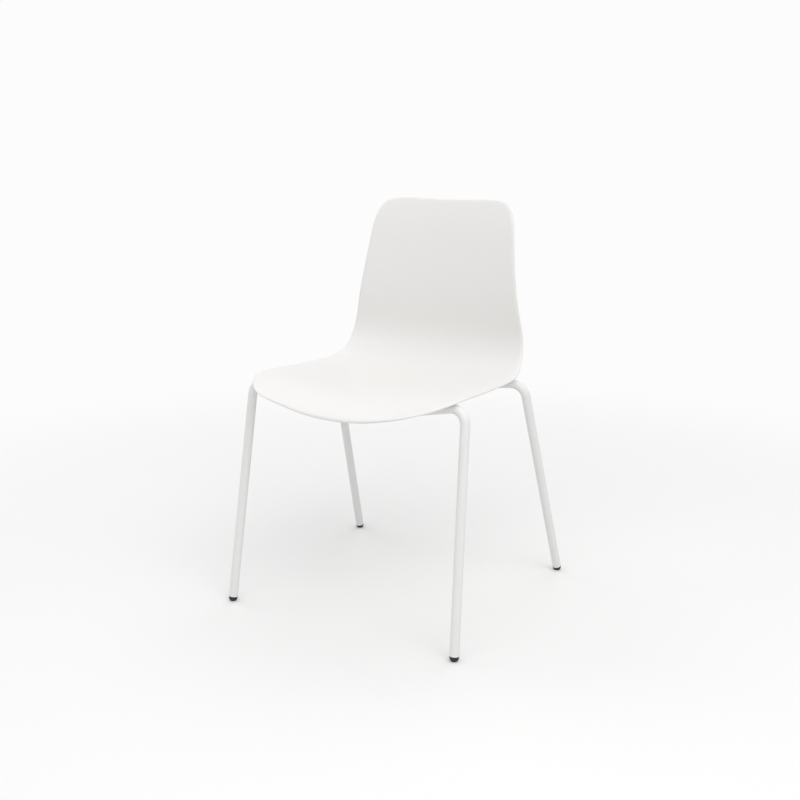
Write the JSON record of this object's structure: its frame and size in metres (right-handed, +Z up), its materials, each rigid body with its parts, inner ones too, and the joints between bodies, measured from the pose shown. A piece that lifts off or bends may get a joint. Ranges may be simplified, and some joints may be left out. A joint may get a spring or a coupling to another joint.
{
  "type": "stacking chair",
  "caption": "White stacking chair: one-piece moulded seat and back shell on a bent round-tube frame with splayed legs and black foot glides.",
  "frame": {"origin": "on the floor, at the middle of the chair's footprint", "axes": "+X to the sitter's left, which is the right as seen from the front, -Y the way the sitter faces, +Z up"},
  "size_m": [0.5306, 0.5021, 0.797],
  "materials": {
    "shell_plastic": "fine moulded texture, white polypropylene",
    "frame_paint": "white fine-texture powder coat on steel",
    "glide_plastic": "black moulded nylon",
    "pad_rubber": "dark soft stacking pad",
    "fastener_steel": "zinc-plated steel",
    "insert_brass": "knurled brass"
  },
  "bodies": {
    "root": {"seat_shell": "shell_plastic", "front_leg_frame": "frame_paint", "rear_leg_frame": "frame_paint", "seat_rail_left": "frame_paint", "seat_rail_right": "frame_paint", "seat_screws": "fastener_steel", "seat_washers": "fastener_steel", "thread_inserts": "insert_brass", "glide_front_left": "glide_plastic", "glide_front_right": "glide_plastic", "glide_rear_left": "glide_plastic", "glide_rear_right": "glide_plastic", "stacking_pad_front_left": "pad_rubber", "stacking_pad_front_right": "pad_rubber", "stacking_pad_rear_left": "pad_rubber", "stacking_pad_rear_right": "pad_rubber"}
  },
  "joints": []
}
